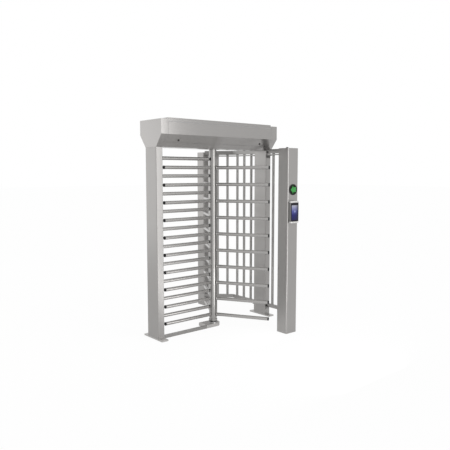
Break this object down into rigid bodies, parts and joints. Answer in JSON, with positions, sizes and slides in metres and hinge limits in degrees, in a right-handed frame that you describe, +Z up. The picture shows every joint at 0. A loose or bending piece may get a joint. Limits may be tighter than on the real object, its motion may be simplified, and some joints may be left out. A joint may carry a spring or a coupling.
{
  "type": "full height turnstile",
  "caption": "Full height turnstile: a comb-winged rotor turns between a fixed comb and a barred cage under a steel head case, with a pass light and access terminal on the front post.",
  "frame": {"origin": "on the floor on the rotor's axis, under the floor bearing's base", "axes": "+Z up along the rotor's axis, +X along the head case towards the cage, -Y towards the side with the pass indicator"},
  "size_m": [1.64, 1.7835, 2.315],
  "materials": {
    "stainless": "brushed stainless sheet",
    "tube_steel": "satin stainless tube",
    "dark_steel": "dark semi-matt",
    "zinc_steel": "zinc plated",
    "black_rubber": "matt",
    "black_plastic": "fine textured",
    "silver_plastic": "silver lacquer",
    "green_lens": "tinted gloss",
    "screen_glass": "dark gloss",
    "blue_coil": "moulded"
  },
  "bodies": {
    "frame": {"left_post": "stainless", "right_post": "stainless", "left_base_plate": "stainless", "right_base_plate": "stainless", "front_post": "stainless", "back_post": "stainless", "case_bay": "stainless", "left_end_cap": "stainless", "right_end_cap": "stainless", "lid": "stainless", "door_hinge_pin": "zinc_steel", "barrier_comb": "tube_steel", "tie_bar": "stainless", "bearing_base": "stainless", "bearing_flange": "zinc_steel", "bearing_seal": "black_rubber", "back_top_rail": "stainless", "back_bar_strip": "stainless", "back_bottom_rail": "stainless", "back_bar_1": "tube_steel", "back_bar_2": "tube_steel", "back_bar_3": "tube_steel", "back_bar_4": "tube_steel", "back_bar_5": "tube_steel", "back_top_bracket": "dark_steel", "back_bottom_bracket": "dark_steel", "front_top_rail": "stainless", "front_bar_strip": "stainless", "front_bottom_rail": "stainless", "front_bar_1": "tube_steel", "front_bar_2": "tube_steel", "front_bar_3": "tube_steel", "front_bar_4": "tube_steel", "front_top_bracket": "dark_steel", "front_bottom_bracket": "dark_steel", "end_top_bracket": "dark_steel", "end_bottom_bracket": "dark_steel", "gear_plate": "zinc_steel", "head_bearing": "zinc_steel", "entry_solenoid": "blue_coil", "exit_solenoid": "blue_coil", "control_box": "black_plastic", "indicator_bezel": "black_plastic", "indicator_lens": "green_lens", "terminal_back": "black_plastic", "terminal_frame": "silver_plastic", "terminal_screen": "screen_glass"},
    "rotor": {"rotor_column": "tube_steel", "rotor_shaft": "zinc_steel", "index_disc": "zinc_steel", "wing_1": "tube_steel", "wing_2": "tube_steel", "wing_3": "tube_steel"},
    "door": {"access_door": "stainless"},
    "left_lock": {"left_door_lock": "zinc_steel"},
    "right_lock": {"right_door_lock": "zinc_steel"},
    "entry_lever": {"entry_lock_lever": "zinc_steel"},
    "exit_lever": {"exit_lock_lever": "zinc_steel"},
    "entry_plunger": {"entry_plunger": "zinc_steel"},
    "exit_plunger": {"exit_plunger": "zinc_steel"}
  },
  "joints": [
    {"name": "rotor_spin", "type": "hinge", "parent": "frame", "child": "rotor", "pos_m": [0, 0, 0], "axis": [0, 0, 1], "continuous": true},
    {"name": "door_swing", "type": "hinge", "parent": "frame", "child": "door", "pos_m": [0, -0.199, 2.274], "axis": [-1, 0, 0], "range_deg": [0, 100]},
    {"name": "left_lock_turn", "type": "hinge", "parent": "door", "child": "left_lock", "pos_m": [-0.579, -0.15625, 2.092], "axis": [0, 0.788, 0.6156], "range_deg": [0, 90]},
    {"name": "right_lock_turn", "type": "hinge", "parent": "door", "child": "right_lock", "pos_m": [0.579, -0.15625, 2.092], "axis": [0, -0.788, -0.6156], "range_deg": [0, 90]},
    {"name": "entry_lever_swing", "type": "hinge", "parent": "frame", "child": "entry_lever", "pos_m": [0.0616, 0.08598, 2.085], "axis": [0, 0, 1], "range_deg": [0, 13], "stiffness_Nm_per_rad": 0.5},
    {"name": "exit_lever_swing", "type": "hinge", "parent": "frame", "child": "exit_lever", "pos_m": [0.0616, -0.08598, 2.085], "axis": [0, 0, -1], "range_deg": [0, 13], "stiffness_Nm_per_rad": 0.5},
    {"name": "entry_plunger_slide", "type": "slide", "parent": "frame", "child": "entry_plunger", "axis": [1, 0, 0], "range_m": [0, 0.0092]},
    {"name": "exit_plunger_slide", "type": "slide", "parent": "frame", "child": "exit_plunger", "axis": [1, 0, 0], "range_m": [0, 0.0092]}
  ],
  "couplings": [
    {"joint": "entry_plunger_slide", "follows": "entry_lever_swing", "m_per_rad": 0.04},
    {"joint": "exit_plunger_slide", "follows": "exit_lever_swing", "m_per_rad": 0.04}
  ]
}
